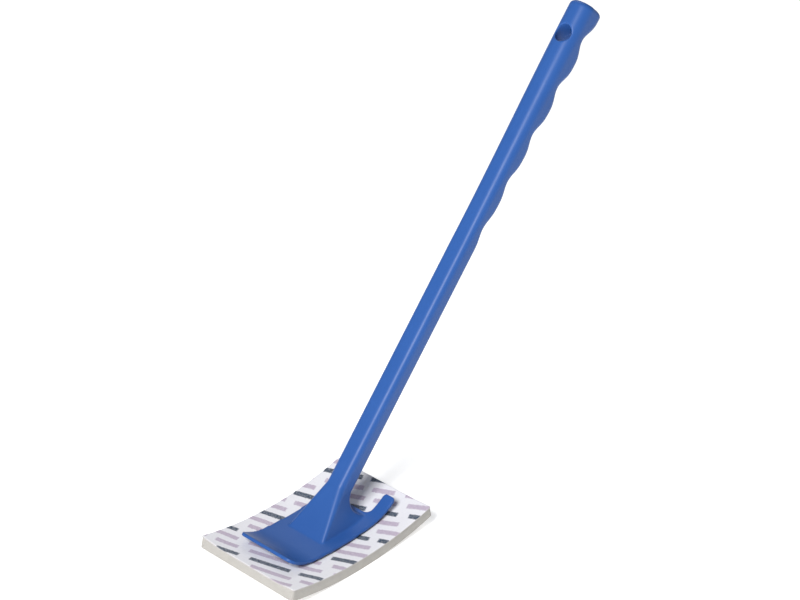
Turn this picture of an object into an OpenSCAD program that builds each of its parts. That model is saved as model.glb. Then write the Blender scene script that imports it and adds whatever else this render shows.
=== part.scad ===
// Long-handled scrubbing tool: a one-piece moulded handle on a curved sled plate,
// with a foam pad that hook tape holds and that peels off.
// Millimetres. X is the pad's width. Y is its length, and the handle leans towards +Y. Z is up.
// The origin is the middle of the pad's scrubbing face.

/* [Pad] */
// Length of the pad's scrubbing face, front to back
pad_length = 168; // [145:1:220]
// Width of the pad
pad_width = 110; // [80:1:150]
// Thickness of the foam
foam_thickness = 8; // [6:0.5:20]
// Thickness of the printed loop fabric
fabric_thickness = 1.2; // [0.6:0.1:2.5]
// Thickness of the film that bonds the fabric to the foam
bond_thickness = 0.3; // [0.2:0.05:0.8]

/* [Sled plate] */
// Width of the plate
plate_width = 63; // [54:1:76]
// Distance from the middle of the pad to the plate's front edge
plate_front = 62; // [50:1:64]
// Distance from the middle of the pad to the arm tips
plate_back = 64; // [58:1:66]
// Thickness of the plate
plate_thickness = 3; // [2.5:0.25:5]
// Radius that the underside of the plate is curved to
plate_radius = 322; // [220:2:500]
// Distance from the middle at which the plate's two ends start to curl up
curl_start = 33; // [30:1:38]
// Radius of the curl at the front edge
front_curl_radius = 53; // [48:1:80]
// Radius of the curl at the arms
arm_curl_radius = 57; // [50:1:80]
// Corner radius at the plate's front
plate_corner = 7; // [4:0.5:14]
// Width of each arm
arm_width = 12; // [10:0.5:15]
// Corner radius at the arm tips
arm_corner = 2.5; // [1:0.25:4]
// Distance from the middle of the pad to the bottom of the gap between the arms
gap_start = 42; // [40:1:50]

/* [Hook tape] */
// Thickness of the hook tape with its hooks
hook_thickness = 1.2; // [1:0.1:3]
// Thickness of the tape's adhesive
adhesive_thickness = 0.2; // [0.15:0.05:0.5]
// Gap between the tape's hooks and the fabric
hook_clearance = 0.3; // [0.3:0.05:1]
// Distance from the plate's edge to the edge of the tape
tape_inset = 1; // [0.75:0.25:3]
// Length of the front strip of tape
front_tape_length = 56; // [40:1:58]
// Distance from the middle of the pad to the front edge of the front strip
front_tape_start = 36; // [30:1:40]
// Gap between the front strip and the two arm strips
tape_spacing = 3; // [2:0.5:6]
// Distance from the middle of the pad to the back end of the arm strips
arm_tape_end = 50; // [44:1:56]
// Width of each arm strip
arm_tape_width = 9; // [6:0.5:9]

/* [Neck] */
// Distance from the middle of the pad to the foot of the neck's front face
neck_front = 16; // [10:1:20]
// Width of the neck's front face at its foot
neck_front_width = 42; // [34:1:44]
// Width of the neck's back at its foot
neck_back_width = 39; // [30:1:40]
// Corner radius of the neck at its foot
neck_corner = 2; // [1:0.25:4]

/* [Shaft] */
// Lean of the shaft above the horizontal, in degrees
shaft_lean = 48.6; // [42:0.2:58]
// How far in front of the pad's middle the shaft's axis meets the top of the pad
shaft_forward = 2.5; // [0:0.5:8]
// Distance from the top of the pad to the top end, along the shaft's axis
shaft_length = 507; // [420:1:600]
// Length of the neck along the shaft's axis
neck_length = 45; // [40:1:60]
// Width of the shaft
shaft_width = 19.5; // [16:0.5:24]
// Front-to-back depth of the shaft
shaft_depth = 18; // [13:0.5:22]
// Corner radius of the shaft
shaft_corner = 5.5; // [4:0.25:6.25]

/* [Grip] */
// Number of waves in the back of the grip
wave_count = 5; // [3:1:7]
// Length of each wave
wave_pitch = 45.7; // [30:0.1:50]
// Distance from the top end to the first wave
wave_start = 6; // [5:0.5:16]
// Depth of the top wave
wave_depth = 7.8; // [2:0.1:9]
// Depth of the bottom wave
low_wave_depth = 3.3; // [2:0.1:6]
// How narrow the valleys between the waves are, where 1 gives even waves
valley_sharpness = 1.6; // [1:0.1:2.2]
// Width of the grip at the top end
grip_width = 24.5; // [22.5:0.5:28]
// Front-to-back depth of the grip at the top end
grip_depth = 31; // [24:0.5:34]
// How far the front of the grip swells out at the top end
grip_swell = 3; // [0:0.1:5]
// Corner radius of the grip at the top end
grip_corner = 11; // [6:0.25:11]
// Height of the domed end
dome_height = 4; // [3:0.5:6]
// Diameter of the hang hole
hang_hole = 15.5; // [8:0.5:16]
// Distance from the top end to the hang hole
hang_hole_drop = 31; // [26:0.5:36]
// Tilt of the hang hole from square to the shaft, in degrees
hang_hole_tilt = 16; // [0:1:20]

/* [Hidden] */

pad_top = foam_thickness + bond_thickness + fabric_thickness;
plate_underside = pad_top + hook_clearance + hook_thickness + adhesive_thickness;
plate_top = plate_underside + plate_thickness;
// The pad takes the plate's curve: both bend about the same line along X
pad_radius = plate_radius + plate_underside;
// Cutting shapes reach past what they cut by this much
over = 1;
pad_facets = 200;
hole_facets = 64;

function mix(a, b, t) = a + (b - a) * t;
function smooth(t) = t * t * (3 - 2 * t);

// Points on a circular arc
function arc(centre, r, from, to, steps) =
    [for (i = [0 : steps]) let (a = from + (to - from) * i / steps) centre + r * [cos(a), sin(a)]];

// Solid with a profile in the YZ plane, as wide as width
module across(width) {
    rotate([90, 0, 90]) translate([0, 0, -width / 2]) linear_extrude(width) children();
}

// ---- Pad ----

// One layer of the pad, from its underside height and its thickness.
// Its ends are square to its curve, and its angle is set by the length of the scrubbing face.
module pad_layer(z, thickness) {
    half_angle = asin(pad_length / 2 / pad_radius);
    outer = pad_radius - z;
    reach = 2 * pad_radius;
    across(pad_width)
    translate([0, pad_radius])
    intersection() {
        difference() {
            circle(outer, $fn = pad_facets);
            circle(outer - thickness, $fn = pad_facets);
        }
        polygon([[0, 0],
            reach * [-sin(half_angle), -cos(half_angle)],
            reach * [sin(half_angle), -cos(half_angle)]]);
    }
}

module foam_pad() {
    color("#cfcbc5") pad_layer(0, foam_thickness);
}

module fabric_bond_film() {
    color("#e6e2dc") pad_layer(foam_thickness, bond_thickness);
}

module loop_fabric() {
    color("#e8e9ee") pad_layer(foam_thickness + bond_thickness, fabric_thickness);
}

// ---- Plate ----

// The plate's curve: a wide middle arc, then a tighter arc tangent to each end of it.
// drop is the distance below the plate's underside, and is negative inside the plate.
mid_centre = [0, plate_underside + plate_radius];
mid_angle = asin(curl_start / plate_radius);
mid_steps = 16;
curl_steps = 12;
curl_angle = 60;

function curl_centre(side, r) =
    mid_centre + (plate_radius - r) * [side * sin(mid_angle), -cos(mid_angle)];

function plate_curve(drop) = concat(
    arc(curl_centre(-1, front_curl_radius), front_curl_radius + drop,
        270 - mid_angle - curl_angle, 270 - mid_angle, curl_steps),
    [for (i = [1 : mid_steps])
        let (a = 270 - mid_angle + 2 * mid_angle * i / mid_steps)
        mid_centre + (plate_radius + drop) * [cos(a), sin(a)]],
    [for (i = [1 : curl_steps])
        let (a = 270 + mid_angle + curl_angle * i / curl_steps)
        curl_centre(1, arm_curl_radius) + (arm_curl_radius + drop) * [cos(a), sin(a)]]);

// Slab that follows the plate's curve, from one drop to a higher one
module curved_slab(low_drop, high_drop) {
    low = plate_curve(low_drop);
    high = plate_curve(high_drop);
    last = len(high) - 1;
    across(plate_width + 2 * over)
    polygon(concat(low, [for (i = [last : -1 : 0]) high[i]]));
}

// Height of the plate's top at y
function plate_top_at(y) =
    abs(y) < curl_start
        ? mid_centre[1] - sqrt(pow(plate_radius - plate_thickness, 2) - y * y)
        : let (
            r = y < 0 ? front_curl_radius : arm_curl_radius,
            c = curl_centre(sign(y), r))
          c[1] - sqrt(pow(r - plate_thickness, 2) - pow(y - c[0], 2));

round_steps = 6;

// Plate outline, with the gap between the arms. inset shrinks it all round.
module plate_outline(inset = 0) {
    half_w = plate_width / 2 - inset;
    front = plate_front - inset;
    back = plate_back - inset;
    inner = plate_width / 2 - arm_width + inset;
    gap_corner = arm_width / 2;
    gap = gap_start - inset;
    front_r = plate_corner - inset;
    tip_r = arm_corner;
    right = concat(
        arc([half_w - front_r, front_r - front], front_r, -90, 0, round_steps),
        arc([half_w - tip_r, back - tip_r], tip_r, 0, 90, round_steps),
        arc([inner + tip_r, back - tip_r], tip_r, 90, 180, round_steps),
        arc([inner - gap_corner, gap + gap_corner], gap_corner, 0, -90, round_steps));
    last = len(right) - 1;
    polygon(concat(right, [for (i = [last : -1 : 0]) [-right[i][0], right[i][1]]]));
}

module plate() {
    intersection() {
        curved_slab(0, -plate_thickness);
        linear_extrude(plate_top + plate_back) plate_outline();
    }
}

// ---- Hook tape and its adhesive ----

// One layer of the tape under the plate. drop is from the plate's underside to the layer's.
module tape_layer(drop, thickness) {
    intersection() {
        curved_slab(drop, drop - thickness);
        linear_extrude(plate_underside + plate_back)
        intersection() {
            plate_outline(tape_inset);
            children();
        }
    }
}

module front_strip() {
    translate([-plate_width / 2, -front_tape_start]) square([plate_width, front_tape_length]);
}

// side is 1 for the right arm and -1 for the left
module arm_strip(side) {
    outer = plate_width / 2 - tape_inset;
    start = front_tape_length - front_tape_start + tape_spacing;
    translate([side * (outer - arm_tape_width / 2), (start + arm_tape_end) / 2])
    square([arm_tape_width, arm_tape_end - start], center = true);
}

module tape() {
    color("#30343c") tape_layer(adhesive_thickness + hook_thickness, hook_thickness) children();
}

module adhesive() {
    color("#d8d4c8") tape_layer(adhesive_thickness, adhesive_thickness) children();
}

module front_hook_tape() {
    tape() front_strip();
}

module left_hook_tape() {
    tape() arm_strip(-1);
}

module right_hook_tape() {
    tape() arm_strip(1);
}

module front_tape_adhesive() {
    adhesive() front_strip();
}

module left_tape_adhesive() {
    adhesive() arm_strip(-1);
}

module right_tape_adhesive() {
    adhesive() arm_strip(1);
}

// ---- Shaft, grip and neck ----

// The shaft's axis starts at the top of the pad, and front_dir is square to it
axis_dir = [cos(shaft_lean), sin(shaft_lean)];
front_dir = [-sin(shaft_lean), cos(shaft_lean)];
axis_foot = [-shaft_forward, pad_top];
front_face = shaft_depth / 2;
corner_steps = 4;
// The corners stop this far short of meeting each other
corner_spare = 0.25;
// Smallest corner radius on the domed end
least_corner = 1;

// Rounded rectangle as offsets [across, forward] from the middle, wider at the front or the back
function section(front_w, back_w, front, back, r) = concat(
    arc([front_w / 2 - r, front - r], r, 0, 90, corner_steps),
    arc([r - front_w / 2, front - r], r, 90, 180, corner_steps),
    arc([r - back_w / 2, back + r], r, 180, 270, corner_steps),
    arc([back_w / 2 - r, back + r], r, 270, 360, corner_steps));

// A ring of points: origin and forward direction are in the YZ plane
function ring(origin, forward, outline) =
    [for (p = outline) [p[0], origin[0] + p[1] * forward[0], origin[1] + p[1] * forward[1]]];

function shaft_point(s) = axis_foot + s * axis_dir;

// 0 at the bottom of the grip, 1 at the top end
grip_length = wave_start + wave_count * wave_pitch;
grip_start = shaft_length - grip_length;
function grip_share(s) = min(1, max(0, (s - grip_start) / grip_length));

// Front and back of the section at s, from the axis. The waves are cut into the back.
function front_at(s) = front_face + grip_swell * smooth(grip_share(s));
function wave_at(s) =
    let (along = min(wave_count, max(0, (s - grip_start) / wave_pitch)))
    mix(low_wave_depth, wave_depth, grip_share(s))
        * pow(0.5 - 0.5 * cos(360 * along), valley_sharpness);
function back_at(s) =
    let (plain_back = shaft_depth - front_face, grip_back = grip_depth - front_face - grip_swell)
    mix(plain_back, grip_back, grip_share(s)) - wave_at(s);
function width_at(s) = mix(shaft_width, grip_width, smooth(grip_share(s)));
function corner_at(s) =
    min(mix(shaft_corner, grip_corner, grip_share(s)), (front_at(s) + back_at(s)) / 2 - corner_spare);

function shaft_ring(s, shrink = 0) =
    let (w = width_at(s) - 2 * shrink, r = max(least_corner, corner_at(s) - shrink / 2))
    ring(shaft_point(s), front_dir,
        section(w, w, front_at(s) - shrink, shrink - back_at(s), r));

// Neck rings run from the foot of the neck up to the shaft
neck_steps = 10;
neck_sink = plate_thickness / 2;
// The back of the neck runs this far past the bottom of the gap between the arms
neck_overhang = 1;
// The hollow curve's control point, behind the shaft and above the plate
hollow_back = 10;
hollow_height = 4;
neck_top_front = shaft_point(neck_length) + front_face * front_dir;
neck_top_back = shaft_point(neck_length) - (shaft_depth - front_face) * front_dir;
neck_foot_front = [-neck_front, plate_top_at(neck_front) - neck_sink];
neck_foot_back = [gap_start + neck_overhang, plate_top_at(gap_start) - neck_sink];
neck_hollow = [neck_top_back[0] - hollow_back, plate_top_at(0) + hollow_height];

function neck_back_curve(t) =
    pow(1 - t, 2) * neck_foot_back + 2 * t * (1 - t) * neck_hollow + pow(t, 2) * neck_top_back;

function neck_ring(t) =
    let (
        front = mix(neck_foot_front, neck_top_front, t),
        back = neck_back_curve(t),
        depth = norm(front - back),
        forward = (front - back) / depth)
    ring(back, forward,
        section(mix(neck_front_width, shaft_width, t), mix(neck_back_width, shaft_width, smooth(t)),
            depth, 0, mix(neck_corner, shaft_corner, t)));

// Sides of a loft of rings, and its two flat ends
function loft_faces(rings, sides) = concat(
    [[for (i = [sides - 1 : -1 : 0]) i]],
    [for (k = [0 : rings - 2], i = [0 : sides - 1])
        let (j = (i + 1) % sides)
        [k * sides + i, k * sides + j, (k + 1) * sides + j, (k + 1) * sides + i]],
    [[for (i = [0 : sides - 1]) (rings - 1) * sides + i]]);

wave_steps = 8;
grip_steps = wave_count * wave_steps;
dome_steps = 4;
dome_start = shaft_length - dome_height;
// The dome's rings stop at this angle, which leaves a flat on its crown
dome_sweep = 80;

// Neck, shaft, grip and domed end as one loft
module stem() {
    rings = concat(
        [for (i = [0 : neck_steps]) neck_ring(i / neck_steps)],
        [for (i = [0 : grip_steps]) shaft_ring(mix(grip_start, dome_start, i / grip_steps))],
        [for (i = [1 : dome_steps])
            let (a = dome_sweep * i / dome_steps)
            shaft_ring(dome_start + dome_height * sin(a), dome_height * (1 - cos(a)))]);
    polyhedron(
        points = [for (r = rings) each r],
        faces = loft_faces(len(rings), len(rings[0])),
        convexity = 6);
}

// The hang hole runs front to back through the grip
module hang_hole_cut() {
    s = shaft_length - hang_hole_drop;
    centre = shaft_point(s) + front_at(s) * front_dir;
    translate([0, centre[0], centre[1]])
    rotate([shaft_lean - hang_hole_tilt, 0, 0])
    cylinder(h = 4 * grip_depth, d = hang_hole, center = true, $fn = hole_facets);
}

module handle_moulding() {
    color("#3c69b4")
    difference() {
        union() {
            plate();
            stem();
        }
        hang_hole_cut();
    }
}

handle_moulding();
front_hook_tape();
left_hook_tape();
right_hook_tape();
front_tape_adhesive();
left_tape_adhesive();
right_tape_adhesive();
loop_fabric();
fabric_bond_film();
foam_pad();
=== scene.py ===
import math

import bmesh
import bpy
from mathutils import Matrix, Vector


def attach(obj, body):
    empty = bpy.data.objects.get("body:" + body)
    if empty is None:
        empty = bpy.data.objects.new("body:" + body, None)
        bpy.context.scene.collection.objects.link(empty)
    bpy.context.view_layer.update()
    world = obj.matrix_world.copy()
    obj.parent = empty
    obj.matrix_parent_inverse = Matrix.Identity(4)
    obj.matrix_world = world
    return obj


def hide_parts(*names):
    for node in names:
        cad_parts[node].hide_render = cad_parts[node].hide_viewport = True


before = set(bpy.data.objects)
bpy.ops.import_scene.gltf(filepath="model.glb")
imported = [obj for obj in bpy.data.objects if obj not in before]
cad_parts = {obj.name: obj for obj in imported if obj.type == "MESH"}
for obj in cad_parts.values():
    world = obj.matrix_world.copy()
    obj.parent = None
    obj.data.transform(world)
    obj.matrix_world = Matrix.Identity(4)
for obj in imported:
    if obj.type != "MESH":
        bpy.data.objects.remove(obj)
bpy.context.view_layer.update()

# The long-handled scrub pad tool, built in the order that it is put together: the moulded
# handle, the hook tape stuck under its plate, and the foam pad with its printed loop face.
# Sizes are in millimetres, and each mesh is turned to metres when it is finished.

# ---- Moulded handle ----
# One injection moulding in polypropylene: a sled plate with two arms, a neck that narrows
# from the plate to the shaft, and a grip with finger waves along its back. Its mould opens
# front and back, and the two halves leave a thin line down each side.

PLATE_UNDERSIDE = 11.2
PLATE_THICKNESS = 3.0
PLATE_WIDTH = 63.0
PLATE_FRONT = 62.0
PLATE_BACK = 64.0
PLATE_CORNER = 7.0
ARM_WIDTH = 12.0
ARM_CORNER = 2.5
GAP_START = 42.0
GAP_CORNER = ARM_WIDTH / 2

# The plate is bent to three arcs: a wide one in the middle and a tight one at each end
MIDDLE_RADIUS = 322.0
CURL_START = 33.0
FRONT_CURL_RADIUS = 53.0
ARM_CURL_RADIUS = 57.0
CURL_ANGLE = math.asin(CURL_START / MIDDLE_RADIUS)


def bend_to_plate(point):
    """Moves a point of a flat slab to the plate's curve. Its Z is its height above the underside."""
    x, y, height = point
    side = math.copysign(1, y)
    centre_y, centre_z, radius = 0.0, PLATE_UNDERSIDE + MIDDLE_RADIUS, MIDDLE_RADIUS
    if abs(y) > CURL_START:
        radius = FRONT_CURL_RADIUS if y < 0 else ARM_CURL_RADIUS
        centre_y += (MIDDLE_RADIUS - radius) * side * math.sin(CURL_ANGLE)
        centre_z -= (MIDDLE_RADIUS - radius) * math.cos(CURL_ANGLE)
    turn = math.asin((y - centre_y) / radius)
    reach = radius - height
    return Vector((x, centre_y + reach * math.sin(turn), centre_z - reach * math.cos(turn)))


CORNER_SEGMENTS = 6
SAME_PLACE = 1e-4


def make_slab(corners, low, high, spacing):
    """A flat slab. Each corner is (x, y, radius). Cuts across it let it bend."""
    slab = bmesh.new()
    verts = [slab.verts.new((x, y, low)) for x, y, radius in corners]
    slab.faces.new(verts)
    for vert, corner in zip(verts, corners):
        bmesh.ops.bevel(slab, geom=[vert], affect="VERTICES", offset=corner[2],
                        segments=CORNER_SEGMENTS, profile=0.5, material=-1)
    raised = bmesh.ops.extrude_face_region(slab, geom=slab.faces[:])
    raised_verts = [v for v in raised["geom"] if isinstance(v, bmesh.types.BMVert)]
    bmesh.ops.translate(slab, verts=raised_verts, vec=(0, 0, high - low))
    for axis in (0, 1):
        normal = Vector((1, 0, 0)) if axis == 0 else Vector((0, 1, 0))
        reach = max(abs(v.co[axis]) for v in slab.verts)
        steps = int(reach / spacing)
        for step in range(-steps, steps + 1):
            bmesh.ops.bisect_plane(slab, geom=slab.verts[:] + slab.edges[:] + slab.faces[:],
                                   dist=SAME_PLACE, plane_co=normal * step * spacing,
                                   plane_no=normal)
    return slab


SHARP_ANGLE = math.radians(35)
MM_PER_METRE = 1000


def finish_mesh(made, name):
    """Turns a bmesh in millimetres into an object in metres, with its faces outwards."""
    bmesh.ops.recalc_face_normals(made, faces=made.faces[:])
    bmesh.ops.scale(made, vec=(1 / MM_PER_METRE,) * 3, verts=made.verts[:])
    mesh = bpy.data.meshes.new(name)
    made.to_mesh(mesh)
    made.free()
    mesh.shade_smooth()
    mesh.set_sharp_from_angle(angle=SHARP_ANGLE)
    piece = bpy.data.objects.new(name, mesh)
    bpy.context.scene.collection.objects.link(piece)
    return piece


PLATE_CUTS = 2.5
HALF_WIDTH = PLATE_WIDTH / 2
ARM_INSIDE = HALF_WIDTH - ARM_WIDTH
PLATE_CORNERS = [
    (-HALF_WIDTH, -PLATE_FRONT, PLATE_CORNER), (HALF_WIDTH, -PLATE_FRONT, PLATE_CORNER),
    (HALF_WIDTH, PLATE_BACK, ARM_CORNER), (ARM_INSIDE, PLATE_BACK, ARM_CORNER),
    (ARM_INSIDE, GAP_START, GAP_CORNER), (-ARM_INSIDE, GAP_START, GAP_CORNER),
    (-ARM_INSIDE, PLATE_BACK, ARM_CORNER), (-HALF_WIDTH, PLATE_BACK, ARM_CORNER)]
moulding = make_slab(PLATE_CORNERS, 0, PLATE_THICKNESS, PLATE_CUTS)
for vert in moulding.verts:
    vert.co = bend_to_plate(vert.co)

# The shaft's own directions: along it, and square to it towards the front
LEAN = math.radians(48.6)
ALONG = Vector((0, math.cos(LEAN), math.sin(LEAN)))
FORWARD = Vector((0, -math.sin(LEAN), math.cos(LEAN)))
SHAFT_FOOT = Vector((0, -2.5, 9.5))
SHAFT_LENGTH = 507.0
SHAFT_WIDTH = 19.5
SHAFT_FRONT = 9.0
SHAFT_BACK = 9.0
NECK_LENGTH = 45.0
NECK_FRONT_WIDTH = 42.0
NECK_BACK_WIDTH = 39.0
NECK_FOOT_FRONT = Vector((0, -16.0, 13.1))
NECK_FOOT_BACK = Vector((0, 43.0, 15.9))
NECK_HOLLOW_BACK = 10.0
NECK_HOLLOW_HEIGHT = 18.2
WAVES = 5
WAVE_PITCH = 45.7
WAVE_START = 6.0
WAVE_DEPTHS = (3.3, 7.8)
VALLEY_SHARPNESS = 1.6
GRIP_LENGTH = WAVE_START + WAVES * WAVE_PITCH
GRIP_START = SHAFT_LENGTH - GRIP_LENGTH
GRIP_WIDTH = 24.5
GRIP_SWELL = 3.0
GRIP_BACK = 19.0
DOME_HEIGHT = 4.0
NECK_CORNER = 2.0
SHAFT_CORNER = 5.5
GRIP_CORNER = 11.0
LEAST_CORNER = 1.0


def mix(a, b, share):
    """The value at a share of the way from a to b."""
    return a + (b - a) * share


def ease(share):
    """The same share, but slow at both ends."""
    return share * share * (3 - 2 * share)


def grip_share(distance):
    """How far along the grip a distance along the shaft lies: 0 below it, 1 at its end."""
    return min(1.0, max(0.0, (distance - GRIP_START) / GRIP_LENGTH))


def shaft_back(distance):
    """How far the back of the shaft lies behind its axis, with the finger waves cut in."""
    share = grip_share(distance)
    along = min(WAVES, max(0.0, (distance - GRIP_START) / WAVE_PITCH))
    valley = (0.5 - 0.5 * math.cos(2 * math.pi * along)) ** VALLEY_SHARPNESS
    return mix(SHAFT_BACK, GRIP_BACK, share) - mix(*WAVE_DEPTHS, share) * valley


def off_middle(sine, half, corner):
    """How far a rounded rectangle's outline lies from its middle, for a sine or a cosine."""
    return math.copysign(half - corner, sine) + corner * sine


def shape_shaft(angle, distance, shrink):
    """The point of the shaft or grip at an angle round it and a distance along it."""
    share = grip_share(distance)
    width = mix(SHAFT_WIDTH, GRIP_WIDTH, ease(share)) / 2 - shrink
    front = SHAFT_FRONT + GRIP_SWELL * ease(share) - shrink
    back = shaft_back(distance) - shrink
    corner = min(mix(SHAFT_CORNER, GRIP_CORNER, share), (front + back) / 2) - shrink / 2
    corner = max(LEAST_CORNER, corner)
    across = off_middle(math.cos(angle), width, corner)
    rise = off_middle(math.sin(angle), front if math.sin(angle) > 0 else back, corner)
    return SHAFT_FOOT + ALONG * distance + FORWARD * rise + Vector((across, 0, 0))


def shape_neck(angle, share):
    """The point of the neck at an angle round it and a share of the way up it."""
    top_front = SHAFT_FOOT + ALONG * NECK_LENGTH + FORWARD * SHAFT_FRONT
    top_back = SHAFT_FOOT + ALONG * NECK_LENGTH - FORWARD * SHAFT_BACK
    hollow = Vector((0, top_back.y - NECK_HOLLOW_BACK, NECK_HOLLOW_HEIGHT))
    front = NECK_FOOT_FRONT.lerp(top_front, share)
    back = NECK_FOOT_BACK.lerp(hollow, share).lerp(hollow.lerp(top_back, share), share)
    corner = mix(NECK_CORNER, SHAFT_CORNER, share)
    width = mix(NECK_FRONT_WIDTH, SHAFT_WIDTH, share)
    if math.sin(angle) < 0:
        width = mix(NECK_BACK_WIDTH, SHAFT_WIDTH, ease(share))
    across = off_middle(math.cos(angle), width / 2, corner)
    depth = (front - back).length
    rise = 0.5 + off_middle(math.sin(angle), depth / 2, corner) / depth
    return back.lerp(front, rise) + Vector((across, 0, 0))


# The stem starts as a plain tube of rings, and each ring is drawn out to its section
NECK_RINGS = 20
SHAFT_RINGS = 190
DOME_RINGS = 6
DOME_SWEEP = math.radians(84)
STEM_SIDES = 48
stem_rings = NECK_RINGS + SHAFT_RINGS + DOME_RINGS
stem = bmesh.new()
bmesh.ops.create_cone(stem, cap_ends=True, segments=STEM_SIDES, radius1=1, radius2=1, depth=stem_rings)
lengthwise = [e for e in stem.edges if abs(e.verts[0].co.z - e.verts[1].co.z) > 1]
bmesh.ops.subdivide_edges(stem, edges=lengthwise, cuts=stem_rings - 1, use_grid_fill=True)
for vert in stem.verts:
    ring = round(vert.co.z + stem_rings / 2)
    angle = math.atan2(vert.co.y, vert.co.x) + math.pi / STEM_SIDES
    if ring < NECK_RINGS:
        vert.co = shape_neck(angle, ring / NECK_RINGS)
    elif ring <= NECK_RINGS + SHAFT_RINGS:
        share = (ring - NECK_RINGS) / SHAFT_RINGS
        vert.co = shape_shaft(angle, mix(NECK_LENGTH, SHAFT_LENGTH - DOME_HEIGHT, share), 0)
    else:
        turn = DOME_SWEEP * (ring - NECK_RINGS - SHAFT_RINGS) / DOME_RINGS
        vert.co = shape_shaft(angle, SHAFT_LENGTH - DOME_HEIGHT * (1 - math.sin(turn)),
                              DOME_HEIGHT * (1 - math.cos(turn)))
stem_piece = finish_mesh(stem, "stem_form")
handle = finish_mesh(moulding, "satin_blue_handle")

# The hang hole is a core pin's hole, front to back, with its rim eased
HOLE_RADIUS = 7.75
HOLE_DROP = 31.0
HOLE_TILT = math.radians(16)
HOLE_SIDES = 96
CORE_PIN_LENGTH = 100.0
hole_distance = SHAFT_LENGTH - HOLE_DROP
hole_front = SHAFT_FRONT + GRIP_SWELL * ease(grip_share(hole_distance))
hole_place = SHAFT_FOOT + ALONG * hole_distance + FORWARD * hole_front
core_pin = bmesh.new()
bmesh.ops.create_cone(core_pin, cap_ends=True, segments=HOLE_SIDES, radius1=HOLE_RADIUS,
                      radius2=HOLE_RADIUS, depth=CORE_PIN_LENGTH)
bmesh.ops.rotate(core_pin, verts=core_pin.verts[:], cent=(0, 0, 0),
                 matrix=Matrix.Rotation(LEAN - HOLE_TILT, 3, "X"))
bmesh.ops.translate(core_pin, verts=core_pin.verts[:], vec=hole_place)
core_pin_piece = finish_mesh(core_pin, "core_pin_form")

# The forms are joined and smoothed as one skin, so every inside corner gets a moulded fillet.
# The cell is in metres, because the forms are finished by now
SKIN_CELL = 0.0009
FILLET_STEPS = 3
FILLET_STRENGTH = 0.5
cut = stem_piece.modifiers.new("hang_hole", "BOOLEAN")
cut.operation, cut.solver, cut.object = "DIFFERENCE", "EXACT", core_pin_piece
join = handle.modifiers.new("join", "BOOLEAN")
join.operation, join.solver, join.object = "UNION", "EXACT", stem_piece
skin = handle.modifiers.new("skin", "REMESH")
skin.mode, skin.voxel_size, skin.use_smooth_shade = "VOXEL", SKIN_CELL, True
fillet = handle.modifiers.new("fillet", "SMOOTH")
fillet.factor, fillet.iterations = FILLET_STRENGTH, FILLET_STEPS
skinned = handle.evaluated_get(bpy.context.evaluated_depsgraph_get())
handle.data = bpy.data.meshes.new_from_object(skinned)
handle.data.name = handle.name
handle.modifiers.clear()
for form in (stem_piece, core_pin_piece):
    bpy.data.objects.remove(form)

# How far each point lies from the mould's parting line, in millimetres
PARTING_FROM_BACK = 7.0
CLEAR_OF_LINE = 10.0
parting = handle.data.attributes.new("from_parting_line", "FLOAT", "POINT")
distances = []
for vert in handle.data.vertices:
    place = vert.co * MM_PER_METRE - SHAFT_FOOT
    distance = place.dot(ALONG)
    behind = shaft_back(distance) + place.dot(FORWARD)
    on_shaft = NECK_LENGTH < distance < SHAFT_LENGTH - DOME_HEIGHT
    distances.append(abs(behind - PARTING_FROM_BACK) if on_shaft else CLEAR_OF_LINE)
parting.data.foreach_set("value", distances)


def hex_colour(code):
    """A hex sRGB colour as the linear colour that a shader takes."""
    shares = [int(code[i:i + 2], 16) / 255 for i in (1, 3, 5)]
    return [s / 12.92 if s <= 0.04045 else ((s + 0.055) / 1.055) ** 2.4 for s in shares] + [1]


def new_material(name):
    """An empty material, with its node tree and its shader."""
    material = bpy.data.materials.new(name)
    material.use_nodes = True
    return material, material.node_tree, material.node_tree.nodes["Principled BSDF"]


def add_node(tree, kind, links=(), **settings):
    """Adds a node. links pairs its inputs with values or other nodes' outputs."""
    made = tree.nodes.new(kind)
    for name, value in settings.items():
        setattr(made, name, value)
    for socket, value in dict(links).items():
        if isinstance(value, bpy.types.NodeSocket):
            tree.links.new(value, made.inputs[socket])
        else:
            made.inputs[socket].default_value = value
    return made


def piece_millimetres(tree):
    """The place on the piece in millimetres, so that a pattern's scale is 1 / its real size."""
    place = add_node(tree, "ShaderNodeTexCoord").outputs["Object"]
    return add_node(tree, "ShaderNodeVectorMath", {0: place, 1: (MM_PER_METRE,) * 3},
                    operation="MULTIPLY").outputs[0]


# Injection-moulded polypropylene, satin from a finely etched mould: a soft wide sheen, a
# faint grain, slow unevenness where it shrank as it cooled, and a few pale specks. The
# etched grain is drawn coarser than it is, so that it shows
SINK_SIZE = 38
SPECK_SPACING = 34
SPECK_EDGE = (0.010, 0.016)
LINE_EDGE = (0.10, 0.42)
LINE_TINT = 0.4
SHEEN_PATCH = 9
GRAIN_SIZE = 0.55
polypropylene, tree, shader = new_material("Satin moulded polypropylene, blue")
millimetres = piece_millimetres(tree)
cloud = add_node(tree, "ShaderNodeTexNoise", {"Vector": millimetres, "Scale": 1 / SINK_SIZE,
                                              "Detail": 3.0}).outputs["Fac"]
body_colour = add_node(tree, "ShaderNodeMix", {"Factor": cloud, 6: hex_colour("#2a559a"),
                                               7: hex_colour("#305ba0")}, data_type="RGBA")
speck_cells = add_node(tree, "ShaderNodeTexVoronoi", {
    "Vector": millimetres, "Scale": 1 / SPECK_SPACING})
speck = add_node(tree, "ShaderNodeMapRange", {
    "Value": speck_cells.outputs["Distance"], "From Min": SPECK_EDGE[0],
    "From Max": SPECK_EDGE[1], "To Min": 0.55, "To Max": 0.0}).outputs[0]
specked = add_node(tree, "ShaderNodeMix", {"Factor": speck, 6: body_colour.outputs[2],
                                           7: hex_colour("#b9c6e0")}, data_type="RGBA")
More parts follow.
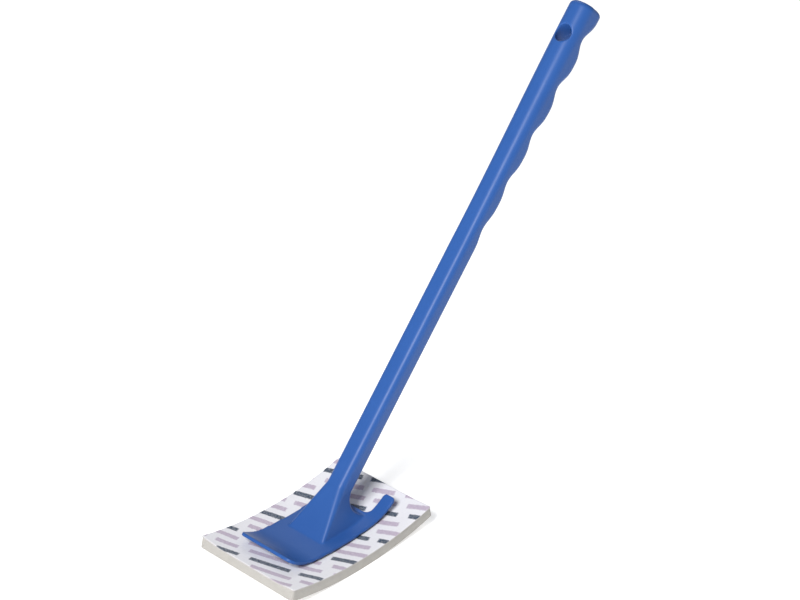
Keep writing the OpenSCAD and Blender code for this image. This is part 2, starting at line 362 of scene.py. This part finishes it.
line_distance = add_node(tree, "ShaderNodeAttribute", attribute_name="from_parting_line")
line = add_node(tree, "ShaderNodeMapRange", {
    "Value": line_distance.outputs["Fac"], "From Min": LINE_EDGE[0],
    "From Max": LINE_EDGE[1], "To Min": 1.0, "To Max": 0.0},
    interpolation_type="SMOOTHSTEP").outputs[0]
line_tint = add_node(tree, "ShaderNodeMath", {0: line, 1: LINE_TINT},
                     operation="MULTIPLY").outputs[0]
lined = add_node(tree, "ShaderNodeMix", {"Factor": line_tint, 6: specked.outputs[2],
                                         7: hex_colour("#5f86c8")}, data_type="RGBA")
tree.links.new(lined.outputs[2], shader.inputs["Base Color"])
sheen_patches = add_node(tree, "ShaderNodeTexNoise", {
    "Vector": millimetres, "Scale": 1 / SHEEN_PATCH, "Detail": 4.0}).outputs["Fac"]
roughness = add_node(tree, "ShaderNodeMapRange", {
    "Value": sheen_patches, "To Min": 0.36, "To Max": 0.46}).outputs[0]
tree.links.new(roughness, shader.inputs["Roughness"])
etched_grain = add_node(tree, "ShaderNodeTexNoise", {
    "Vector": millimetres, "Scale": 1 / GRAIN_SIZE, "Detail": 2.0}).outputs["Fac"]
grain_bump = add_node(tree, "ShaderNodeBump", {
    "Height": etched_grain, "Strength": 0.09, "Distance": 0.00008}).outputs[0]
sink_bump = add_node(tree, "ShaderNodeBump", {
    "Height": cloud, "Normal": grain_bump, "Strength": 0.25, "Distance": 0.0012}).outputs[0]
line_bump = add_node(tree, "ShaderNodeBump", {
    "Height": line, "Normal": sink_bump, "Strength": 0.6, "Distance": 0.00022}).outputs[0]
tree.links.new(line_bump, shader.inputs["Normal"])
shader.inputs["IOR"].default_value = 1.49
shader.inputs["Specular IOR Level"].default_value = 0.3

handle.data.materials.clear()
handle.data.materials.append(polypropylene)
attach(handle, "handle")
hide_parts("handle_moulding")

# ---- Hook tape ----
# Three strips of self-adhesive hook tape, one under the plate and one under each arm. Each
# is a woven nylon backing with rows of stiff mushroom hooks that catch in the pad's loops.
# The hooks are drawn coarser and fewer than they are.

ADHESIVE_THICKNESS = 0.2
BACKING_THICKNESS = 0.5
TAPE_THICKNESS = 1.2
HOOK_PITCH = 2.3
HOOK_RADIUS = 0.22
HOOK_HEAD_RADIUS = 0.5
HOOK_HEAD_HEIGHT = 0.22
HOOK_SIDES = 6
TAPE_INSET = 1.0
TAPE_CORNER = 1.0
TAPE_CUTS = 3.0
FRONT_TAPE_ENDS = (-36.0, 20.0)
ARM_TAPE_ENDS = (23.0, 50.0)
ARM_TAPE_WIDTH = 9.0
TAPE_OUTSIDE = HALF_WIDTH - TAPE_INSET
ARM_TAPE_INSIDE = TAPE_OUTSIDE - ARM_TAPE_WIDTH
TAPE_AREAS = {
    "front_hook_tape": (-TAPE_OUTSIDE, TAPE_OUTSIDE, *FRONT_TAPE_ENDS),
    "left_hook_tape": (-TAPE_OUTSIDE, -ARM_TAPE_INSIDE, *ARM_TAPE_ENDS),
    "right_hook_tape": (ARM_TAPE_INSIDE, TAPE_OUTSIDE, *ARM_TAPE_ENDS)}

# Nylon hook tape, dyed near black: a dull, pebbled weave with a faint gloss
THREAD_SIZE = 0.5
hook_nylon, tree, shader = new_material("Woven nylon hook tape, charcoal")
millimetres = piece_millimetres(tree)
threads = add_node(tree, "ShaderNodeTexVoronoi", {
    "Vector": millimetres, "Scale": 1 / THREAD_SIZE})
tint = add_node(tree, "ShaderNodeMix", {"Factor": threads.outputs["Distance"],
                                        6: hex_colour("#1d2026"), 7: hex_colour("#3a3f49")},
                data_type="RGBA")
tree.links.new(tint.outputs[2], shader.inputs["Base Color"])
thread_bump = add_node(tree, "ShaderNodeBump", {
    "Height": threads.outputs["Distance"], "Strength": 0.5, "Distance": 0.0002}).outputs[0]
tree.links.new(thread_bump, shader.inputs["Normal"])
shader.inputs["Roughness"].default_value = 0.55

for name, (left, right, front, back) in TAPE_AREAS.items():
    corners = [(left, front, TAPE_CORNER), (right, front, TAPE_CORNER),
               (right, back, TAPE_CORNER), (left, back, TAPE_CORNER)]
    top = -ADHESIVE_THICKNESS
    tape = make_slab(corners, top - BACKING_THICKNESS, top, TAPE_CUTS)
    hook_length = TAPE_THICKNESS - BACKING_THICKNESS
    stalk_end = top - BACKING_THICKNESS - hook_length + HOOK_HEAD_HEIGHT
    columns = int((right - left) / HOOK_PITCH)
    rows = int((back - front) / HOOK_PITCH)
    for column in range(columns):
        for row in range(rows):
            x = mix(left, right, (column + 0.5) / columns)
            y = mix(front, back, (row + 0.5) / rows)
            stalk_height = hook_length - HOOK_HEAD_HEIGHT
            bmesh.ops.create_cone(tape, segments=HOOK_SIDES, radius1=HOOK_RADIUS,
                                  radius2=HOOK_RADIUS, depth=stalk_height,
                                  matrix=Matrix.Translation(
                                      (x, y, stalk_end + stalk_height / 2)))
            bmesh.ops.create_cone(tape, cap_ends=True, segments=HOOK_SIDES, radius1=HOOK_RADIUS,
                                  radius2=HOOK_HEAD_RADIUS, depth=HOOK_HEAD_HEIGHT,
                                  matrix=Matrix.Translation(
                                      (x, y, stalk_end - HOOK_HEAD_HEIGHT / 2)))
    for vert in tape.verts:
        vert.co = bend_to_plate(vert.co)
    strip = finish_mesh(tape, name.replace("hook_tape", "hook_strip"))
    strip.data.materials.append(hook_nylon)
    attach(strip, "handle")
    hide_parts(name)

# ---- Tape adhesive ----
# A transfer film of acrylic pressure-sensitive adhesive behind each strip. It is a plain
# film, so its solid stays as it is.

# Acrylic adhesive film: faintly yellow, slightly glossy and uneven where it was rolled on
BUBBLE_SIZE = 2.5
adhesive, tree, shader = new_material("Acrylic adhesive film")
millimetres = piece_millimetres(tree)
bubbles = add_node(tree, "ShaderNodeTexNoise", {
    "Vector": millimetres, "Scale": 1 / BUBBLE_SIZE, "Detail": 3.0}).outputs["Fac"]
tint = add_node(tree, "ShaderNodeMix", {"Factor": bubbles, 6: hex_colour("#cfc8b4"),
                                        7: hex_colour("#e4dfd0")}, data_type="RGBA")
tree.links.new(tint.outputs[2], shader.inputs["Base Color"])
film_bump = add_node(tree, "ShaderNodeBump", {
    "Height": bubbles, "Strength": 0.3, "Distance": 0.0001}).outputs[0]
tree.links.new(film_bump, shader.inputs["Normal"])
shader.inputs["Roughness"].default_value = 0.3
for name in ("front_tape_adhesive", "left_tape_adhesive", "right_tape_adhesive"):
    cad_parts[name].data.materials.clear()
    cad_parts[name].data.materials.append(adhesive)

# ---- Foam pad ----
# A rectangle die-cut from a sheet of soft polyurethane foam. The plate bends it to its own
# curve, its cut ends stay square to that curve, and past the plate it swells a little.

PAD_WIDTH = 110.0
PAD_LENGTH = 168.0
FOAM_THICKNESS = 8.0
FILM_THICKNESS = 0.3
FABRIC_THICKNESS = 1.2
PAD_RADIUS = PLATE_UNDERSIDE + MIDDLE_RADIUS
PAD_CORNER = 2.0
EDGE_SWELL = 1.6
PAD_CUTS = 3.0
FOAM_RIM = 0.9
RIM_SEGMENTS = 3
HALF_PAD_ANGLE = math.asin(PAD_LENGTH / 2 / PAD_RADIUS)
PAD_ARC = 2 * PAD_RADIUS * HALF_PAD_ANGLE


def bend_to_pad(point):
    """Moves a point of a flat sheet, Z up from the scrubbing face, to the pad's curve."""
    x, y, height = point
    free = max(0.0, (abs(x) - HALF_WIDTH) / (PAD_WIDTH / 2 - HALF_WIDTH))
    swell = EDGE_SWELL * ease(min(1.0, free)) * min(1.0, height / FOAM_THICKNESS)
    reach = PAD_RADIUS - height - swell
    turn = y / PAD_RADIUS
    return Vector((x, reach * math.sin(turn), PAD_RADIUS - reach * math.cos(turn)))


def pad_corners(grow):
    """The pad's flat outline, made larger all round by grow."""
    x, y = PAD_WIDTH / 2 + grow, PAD_ARC / 2 + grow
    return [(-x, -y, PAD_CORNER), (x, -y, PAD_CORNER), (x, y, PAD_CORNER), (-x, y, PAD_CORNER)]


def soften_rim(slab, height, width):
    """Rounds the edge that a slab's outline makes at this height."""
    rim = [e for e in slab.edges if all(abs(v.co.z - height) < SAME_PLACE for v in e.verts)
           and len({round(f.normal.z, 2) for f in e.link_faces}) > 1]
    bmesh.ops.bevel(slab, geom=rim, affect="EDGES", offset=width, segments=RIM_SEGMENTS,
                    profile=0.5, material=-1)


foam = make_slab(pad_corners(0), 0, FOAM_THICKNESS, PAD_CUTS)
foam.normal_update()
soften_rim(foam, 0, FOAM_RIM)
for vert in foam.verts:
    vert.co = bend_to_pad(vert.co)
foam_piece = finish_mesh(foam, "cut_foam_pad")

# Open-cell polyurethane foam, die-cut: dull, warm grey, with an open grain of cells, drawn
# a little coarser than they are so that they show
CELL_SIZE = 0.8
BLOTCH_SIZE = 7
PORE_EDGE = 0.45
foam_material, tree, shader = new_material("Open-cell polyurethane foam, grey")
millimetres = piece_millimetres(tree)
cells = add_node(tree, "ShaderNodeTexVoronoi", {"Vector": millimetres, "Scale": 1 / CELL_SIZE})
blotches = add_node(tree, "ShaderNodeTexNoise", {
    "Vector": millimetres, "Scale": 1 / BLOTCH_SIZE, "Detail": 5.0}).outputs["Fac"]
pale = add_node(tree, "ShaderNodeMix", {"Factor": blotches, 6: hex_colour("#aaa7a2"),
                                        7: hex_colour("#b9b6b1")}, data_type="RGBA")
pore = add_node(tree, "ShaderNodeMapRange", {
    "Value": cells.outputs["Distance"], "From Min": 0.0, "From Max": PORE_EDGE,
    "To Min": 0.5, "To Max": 0.0}).outputs[0]
pored = add_node(tree, "ShaderNodeMix", {"Factor": pore, 6: pale.outputs[2],
                                         7: hex_colour("#98948c")}, data_type="RGBA")
tree.links.new(pored.outputs[2], shader.inputs["Base Color"])
cell_bump = add_node(tree, "ShaderNodeBump", {
    "Height": cells.outputs["Distance"], "Strength": 0.7, "Distance": 0.0004}).outputs[0]
tree.links.new(cell_bump, shader.inputs["Normal"])
shader.inputs["Roughness"].default_value = 0.95
shader.inputs["Specular IOR Level"].default_value = 0.2

foam_piece.data.materials.append(foam_material)
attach(foam_piece, "pad")
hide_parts("foam_pad")

# ---- Bond film ----
# The melted skin that holds the loop fabric to the foam after flame bonding. It shows only
# as a thin pale line between them along the cut edges.

film = make_slab(pad_corners(0), FOAM_THICKNESS, FOAM_THICKNESS + FILM_THICKNESS, PAD_CUTS)
for vert in film.verts:
    vert.co = bend_to_pad(vert.co)
film_piece = finish_mesh(film, "flame_bond_film")

# Melted foam skin: pale, waxy and slightly mottled
MOTTLE_SIZE = 1.5
film_material, tree, shader = new_material("Flame-bonded foam skin")
millimetres = piece_millimetres(tree)
mottle = add_node(tree, "ShaderNodeTexNoise", {
    "Vector": millimetres, "Scale": 1 / MOTTLE_SIZE, "Detail": 3.0}).outputs["Fac"]
tint = add_node(tree, "ShaderNodeMix", {"Factor": mottle, 6: hex_colour("#d9d4cd"),
                                        7: hex_colour("#ebe7e1")}, data_type="RGBA")
tree.links.new(tint.outputs[2], shader.inputs["Base Color"])
shader.inputs["Roughness"].default_value = 0.6
film_piece.data.materials.append(film_material)
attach(film_piece, "pad")
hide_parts("fabric_bond_film")

# ---- Printed loop fabric ----
# Brushed nylon loop knit, bonded to the foam's whole top as the landing for the hooks. It is
# printed with a repeat of dashes: one dark row, then two pale rows, slanting over the pad.

FABRIC_LOW = FOAM_THICKNESS + FILM_THICKNESS
FABRIC_TOP = FABRIC_LOW + FABRIC_THICKNESS
FABRIC_OVERHANG = 0.5
FABRIC_RIM = 0.7
fabric = make_slab(pad_corners(FABRIC_OVERHANG), FABRIC_LOW, FABRIC_TOP, PAD_CUTS)
fabric.normal_update()
soften_rim(fabric, FABRIC_TOP, FABRIC_RIM)
unrolled = fabric.verts.layers.float_vector.new("unrolled")
for vert in fabric.verts:
    vert[unrolled] = vert.co
    vert.co = bend_to_pad(vert.co)
fabric_piece = finish_mesh(fabric, "printed_loop_fabric")

# The print's repeat, measured on the flat cloth
PRINT_SLANT = math.radians(21)
PRINT_ROW = 12.4
DASH_HEIGHT = 5.6
DASH_REPEAT = 77.0
LONG_DASH = 37.0
SHORT_DASH = 21.0
DASH_GAP = 8.5
ROW_SHIFT = 6.0
DASH_START = 8.0
DARK_ROW_OFFSET = 7.0
PRINT_ROWS = 3
ROW_EDGE_BLUR = 0.03
DASH_END_BLUR = 0.6

# Brushed nylon loop knit, off-white with a cool cast, screen-printed: a matt nap that
# breaks up the edges of the print. The nap is drawn coarser than it is, so that it shows
NAP_SIZE = 1.0
RAGGED_REACH = (3.2, 4.0, 0)
INK_PATCH = 1.2
# Painted shade: the cloth's cut edge is painted grey up to these heights above its underside
EDGE_SHADE_FADE = (0.7, 1.15)
loop_knit, tree, shader = new_material("Brushed nylon loop knit, printed")
flat_place = add_node(tree, "ShaderNodeAttribute", attribute_name="unrolled").outputs["Vector"]
nap = add_node(tree, "ShaderNodeTexNoise", {
    "Vector": flat_place, "Scale": 1 / NAP_SIZE, "Detail": 4.0, "Roughness": 0.65})
ragged = add_node(tree, "ShaderNodeVectorMath", {0: nap.outputs["Color"], 1: (0.5, 0.5, 0.5)},
                  operation="SUBTRACT").outputs[0]
ragged_place = add_node(tree, "ShaderNodeVectorMath", {
    0: ragged, 1: RAGGED_REACH, 2: flat_place}, operation="MULTIPLY_ADD").outputs[0]
slanted = add_node(tree, "ShaderNodeMapping", {
    "Vector": ragged_place, "Rotation": (0, 0, -PRINT_SLANT)}).outputs[0]
along_across = add_node(tree, "ShaderNodeSeparateXYZ", {0: slanted})
row_place = add_node(tree, "ShaderNodeMath", {
    0: along_across.outputs["Y"], 1: DARK_ROW_OFFSET - PRINT_ROW / 2}, operation="SUBTRACT")
row_number = add_node(tree, "ShaderNodeMath", {0: row_place.outputs[0], 1: PRINT_ROW},
                      operation="DIVIDE").outputs[0]
whole_row = add_node(tree, "ShaderNodeMath", {0: row_number}, operation="FLOOR").outputs[0]
in_row = add_node(tree, "ShaderNodeMath", {0: row_number, 1: whole_row}, operation="SUBTRACT")
from_middle = add_node(tree, "ShaderNodeMath", {0: in_row.outputs[0], 1: 0.5},
                       operation="SUBTRACT").outputs[0]
from_centre = add_node(tree, "ShaderNodeMath", {0: from_middle}, operation="ABSOLUTE").outputs[0]
in_band = add_node(tree, "ShaderNodeMapRange", {
    "Value": from_centre, "From Min": DASH_HEIGHT / 2 / PRINT_ROW - ROW_EDGE_BLUR,
    "From Max": DASH_HEIGHT / 2 / PRINT_ROW + ROW_EDGE_BLUR,
    "To Min": 1.0, "To Max": 0.0}).outputs[0]
from_start = add_node(tree, "ShaderNodeMath", {0: along_across.outputs["X"], 1: DASH_START},
                      operation="SUBTRACT").outputs[0]
shifted = add_node(tree, "ShaderNodeMath", {0: whole_row, 1: ROW_SHIFT, 2: from_start},
                   operation="MULTIPLY_ADD")
repeat = add_node(tree, "ShaderNodeMath", {0: shifted.outputs[0], 1: DASH_REPEAT},
                  operation="FLOORED_MODULO").outputs[0]
in_dashes = []
for length, start in ((LONG_DASH, 0), (SHORT_DASH, LONG_DASH + DASH_GAP)):
    from_dash = add_node(tree, "ShaderNodeMath", {0: repeat, 1: start + length / 2},
                         operation="SUBTRACT").outputs[0]
    off_dash = add_node(tree, "ShaderNodeMath", {0: from_dash}, operation="ABSOLUTE").outputs[0]
    in_dashes.append(add_node(tree, "ShaderNodeMapRange", {
        "Value": off_dash, "From Min": length / 2 - DASH_END_BLUR,
        "From Max": length / 2 + DASH_END_BLUR, "To Min": 1.0, "To Max": 0.0}).outputs[0])
in_dash = add_node(tree, "ShaderNodeMath", {0: in_dashes[0], 1: in_dashes[1]},
                   operation="MAXIMUM")
dash = add_node(tree, "ShaderNodeMath", {0: in_dash.outputs[0], 1: in_band},
                operation="MULTIPLY").outputs[0]

# Ink reaches the top of the nap unevenly, so each dash is a little patchy inside
patches = add_node(tree, "ShaderNodeTexNoise", {
    "Vector": slanted, "Scale": 1 / INK_PATCH, "Detail": 4.0, "Roughness": 0.7}).outputs["Fac"]
ink_cover = add_node(tree, "ShaderNodeMapRange", {
    "Value": patches, "From Min": 0.36, "From Max": 0.54, "To Min": 0.6, "To Max": 1.0})
inked = add_node(tree, "ShaderNodeMath", {0: dash, 1: ink_cover.outputs[0]},
                 operation="MULTIPLY").outputs[0]
thirds = add_node(tree, "ShaderNodeMath", {0: whole_row, 1: PRINT_ROWS},
                  operation="FLOORED_MODULO").outputs[0]
dark_row = add_node(tree, "ShaderNodeMath", {0: thirds, 1: 0.5}, operation="LESS_THAN")
ink = add_node(tree, "ShaderNodeMix", {"Factor": dark_row.outputs[0], 6: hex_colour("#b9aabd"),
                                       7: hex_colour("#22384f")}, data_type="RGBA")
pile = add_node(tree, "ShaderNodeMix", {"Factor": nap.outputs["Fac"], 6: hex_colour("#dfdee3"),
                                        7: hex_colour("#f1f0f4")}, data_type="RGBA")
printed = add_node(tree, "ShaderNodeMix", {"Factor": inked, 6: pile.outputs[2],
                                           7: ink.outputs[2]}, data_type="RGBA")

# Painted shade: the cut edge of the cloth is painted greyer than its brushed face, and carries no
# print
cut_height = add_node(tree, "ShaderNodeSeparateXYZ", {0: flat_place}).outputs["Z"]
painted_edge_shade = add_node(tree, "ShaderNodeMapRange", {
    "Value": cut_height, "From Min": FABRIC_LOW + EDGE_SHADE_FADE[0],
    "From Max": FABRIC_LOW + EDGE_SHADE_FADE[1], "To Min": 1.0, "To Max": 0.0}).outputs[0]
# Painted shade: grey mixed over the print on the cloth's cut edge
edge_shaded = add_node(tree, "ShaderNodeMix", {"Factor": painted_edge_shade, 6: printed.outputs[2],
                                         7: hex_colour("#b7b4b2")}, data_type="RGBA")
tree.links.new(edge_shaded.outputs[2], shader.inputs["Base Color"])
nap_bump = add_node(tree, "ShaderNodeBump", {
    "Height": nap.outputs["Fac"], "Strength": 0.6, "Distance": 0.0006}).outputs[0]
tree.links.new(nap_bump, shader.inputs["Normal"])
shader.inputs["Roughness"].default_value = 0.95
shader.inputs["Specular IOR Level"].default_value = 0.15
shader.inputs["Sheen Weight"].default_value = 0.25

fabric_piece.data.materials.append(loop_knit)
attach(fabric_piece, "pad")
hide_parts("loop_fabric")

# ---- Stage ----
# A plain white floor under the pad that glows a little, a large soft light above and to the
# left of the camera, a weaker one behind the tool, and the camera. Places are in metres.

FLOOR_SIZE = 100.0
floor_form = bmesh.new()
bmesh.ops.create_grid(floor_form, x_segments=1, y_segments=1, size=FLOOR_SIZE / 2 * MM_PER_METRE)
floor = finish_mesh(floor_form, "floor")
floor_material, tree, shader = new_material("White paper sweep")
shader.inputs["Base Color"].default_value = hex_colour("#f4f4f4")
shader.inputs["Roughness"].default_value = 0.9
shader.inputs["Specular IOR Level"].default_value = 0.1
shader.inputs["Emission Color"].default_value = hex_colour("#ffffff")
shader.inputs["Emission Strength"].default_value = 0.5
floor.data.materials.append(floor_material)

world = bpy.data.worlds.new("studio")
world.use_nodes = True
world.node_tree.nodes["Background"].inputs["Color"].default_value = hex_colour("#f7f9fc")
world.node_tree.nodes["Background"].inputs["Strength"].default_value = 0.22
bpy.context.scene.world = world
bpy.context.scene.view_settings.view_transform = "Standard"

SOFTBOXES = {
    "key_softbox": ((0.65, -1.75, 1.84), 0.8, 74.0),
    "back_softbox": ((-1.2, 1.6, 1.9), 1.2, 9.0)}
LIT_POINT = Vector((0, 0.12, 0.15))
for name, (place, size, power) in SOFTBOXES.items():
    light = bpy.data.lights.new(name, "AREA")
    light.shape, light.size, light.energy = "SQUARE", size, power
    softbox = bpy.data.objects.new(name, light)
    softbox.location = place
    softbox.rotation_euler = (LIT_POINT - Vector(place)).to_track_quat("-Z", "Y").to_euler()
    bpy.context.scene.collection.objects.link(softbox)

CAMERA_PLACE = Vector((1.11808, -1.08017, 1.11522))
AIM = Vector((-0.0193, 0.1222, 0.1782))
LENS = 100.66
SENSOR_WIDTH = 36
NEAR, FAR = 0.05, 50
camera = bpy.data.objects.new("camera", bpy.data.cameras.new("camera"))
camera.location = CAMERA_PLACE
camera.rotation_euler = (AIM - CAMERA_PLACE).to_track_quat("-Z", "Y").to_euler()
camera.data.lens = LENS
camera.data.sensor_width = SENSOR_WIDTH
camera.data.clip_start, camera.data.clip_end = NEAR, FAR
bpy.context.scene.collection.objects.link(camera)
bpy.context.scene.camera = camera
